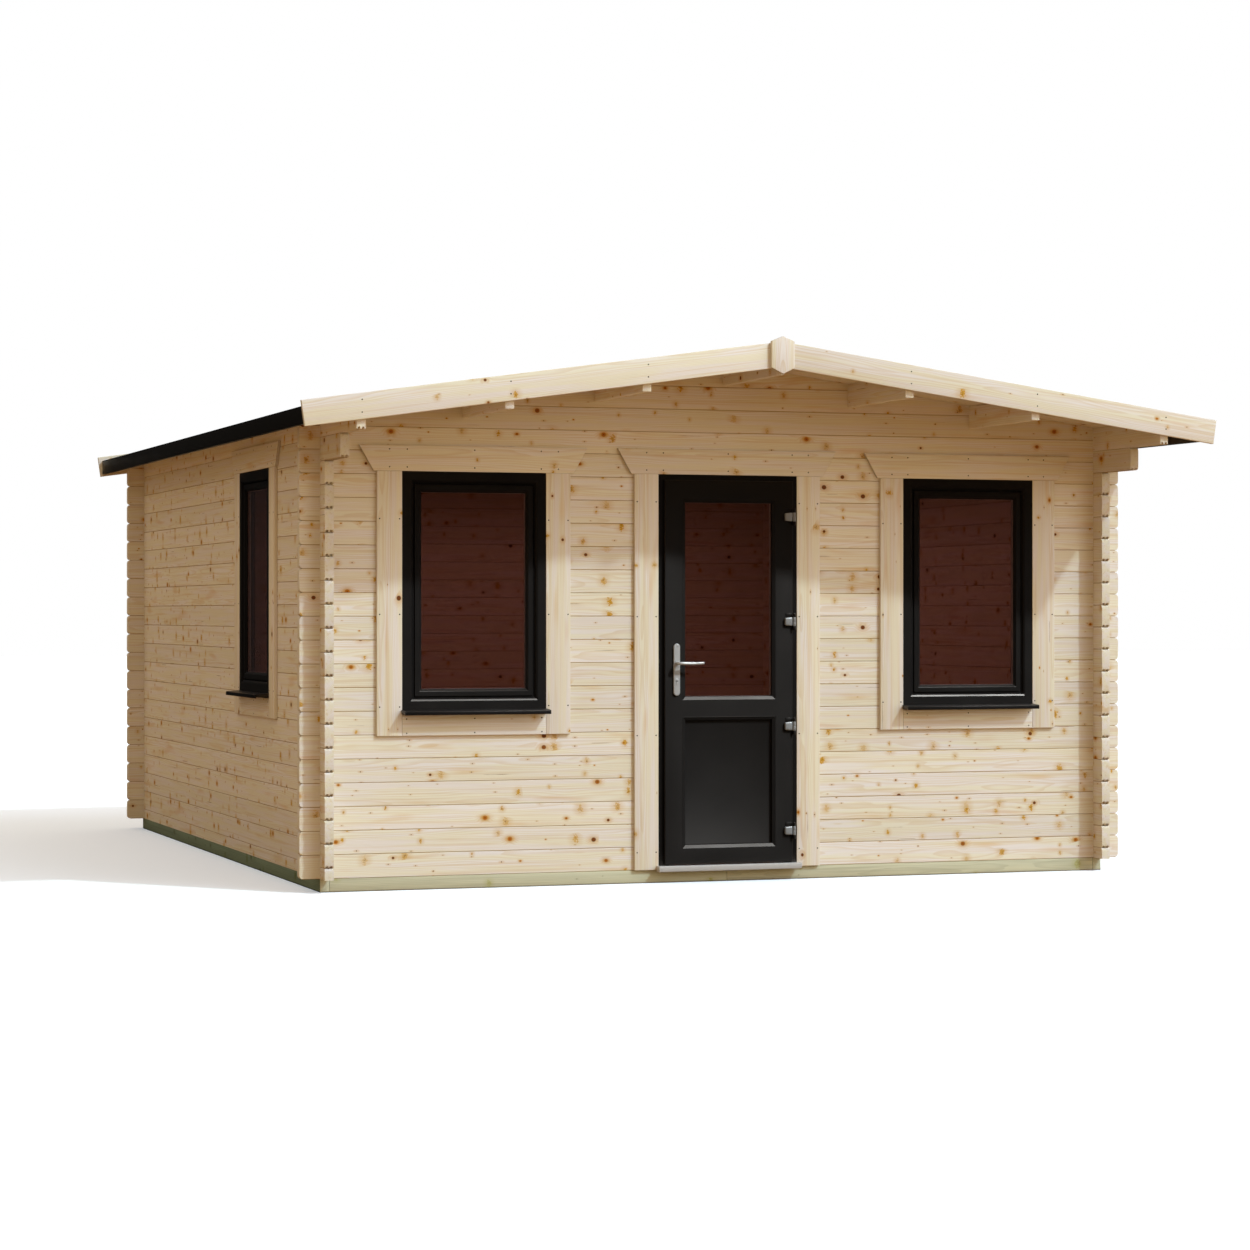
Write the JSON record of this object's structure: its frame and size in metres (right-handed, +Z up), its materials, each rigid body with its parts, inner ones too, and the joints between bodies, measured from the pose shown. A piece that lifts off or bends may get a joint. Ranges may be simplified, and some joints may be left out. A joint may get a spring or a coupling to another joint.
{
  "type": "log cabin",
  "caption": "Gabled garden log cabin with crossed log corners, low pitched roof with a deep front overhang, half-glazed door and tinted casement windows.",
  "frame": {"origin": "on the ground, at the centre of the bounding box", "axes": "+X to the right along the front, +Y from the front to the back, +Z up"},
  "size_m": [4.674, 5.65, 2.6519],
  "materials": {
    "softwood": "planed, untreated spruce with knots",
    "treated_softwood": "pressure treated, pale green",
    "roof_membrane": "matt black membrane",
    "black_upvc": "satin black window profile",
    "tinted_glass": "brown tinted sealed unit",
    "aluminium": "mill finish",
    "hinge_metal": "dark satin",
    "satin_steel": "satin"
  },
  "bodies": {
    "cabin": {"side_bearers": "treated_softwood", "end_bearers": "treated_softwood", "floor_joists": "treated_softwood", "floor_boards": "softwood", "front_wall_left": "softwood", "front_wall_right": "softwood", "front_gable": "softwood", "back_wall": "softwood", "left_wall": "softwood", "right_wall": "softwood", "top_log_left": "softwood", "top_log_right": "softwood", "eaves_plate_left": "softwood", "eaves_plate_right": "softwood", "lower_purlins": "softwood", "upper_purlins": "softwood", "ridge_purlin": "softwood", "roof_deck_left": "softwood", "roof_deck_right": "softwood", "roof_covering": "roof_membrane", "eaves_boards": "roof_membrane", "barge_front_left": "softwood", "barge_front_right": "softwood", "barge_back_left": "softwood", "barge_back_right": "softwood", "finials": "softwood", "window_surround_left": "softwood", "window_surround_right": "softwood", "window_surround_side": "softwood", "window_frame_left": "black_upvc", "window_frame_right": "black_upvc", "window_frame_side": "black_upvc", "window_glass": "tinted_glass", "window_sills": "black_upvc", "door_surround": "softwood", "door_frame": "black_upvc", "threshold": "aluminium", "frame_hinges": "hinge_metal"},
    "door": {"door_leaf": "black_upvc", "door_leaf_front": "black_upvc", "door_glass": "tinted_glass", "door_panel": "black_upvc", "leaf_hinges": "hinge_metal", "handle_plates": "satin_steel"},
    "handle": {"lever_handle": "satin_steel"}
  },
  "joints": [
    {"name": "door_swing", "type": "hinge", "parent": "cabin", "child": "door", "pos_m": [0.3435, -2.108, 0], "axis": [0, 0, 1], "range_deg": [0, 100]},
    {"name": "handle_turn", "type": "hinge", "parent": "door", "child": "handle", "pos_m": [-0.2795, -2.098, 1.086], "axis": [0, 1, 0], "range_deg": [0, 40], "stiffness_Nm_per_rad": 1.5, "springref_deg": -28.65}
  ]
}
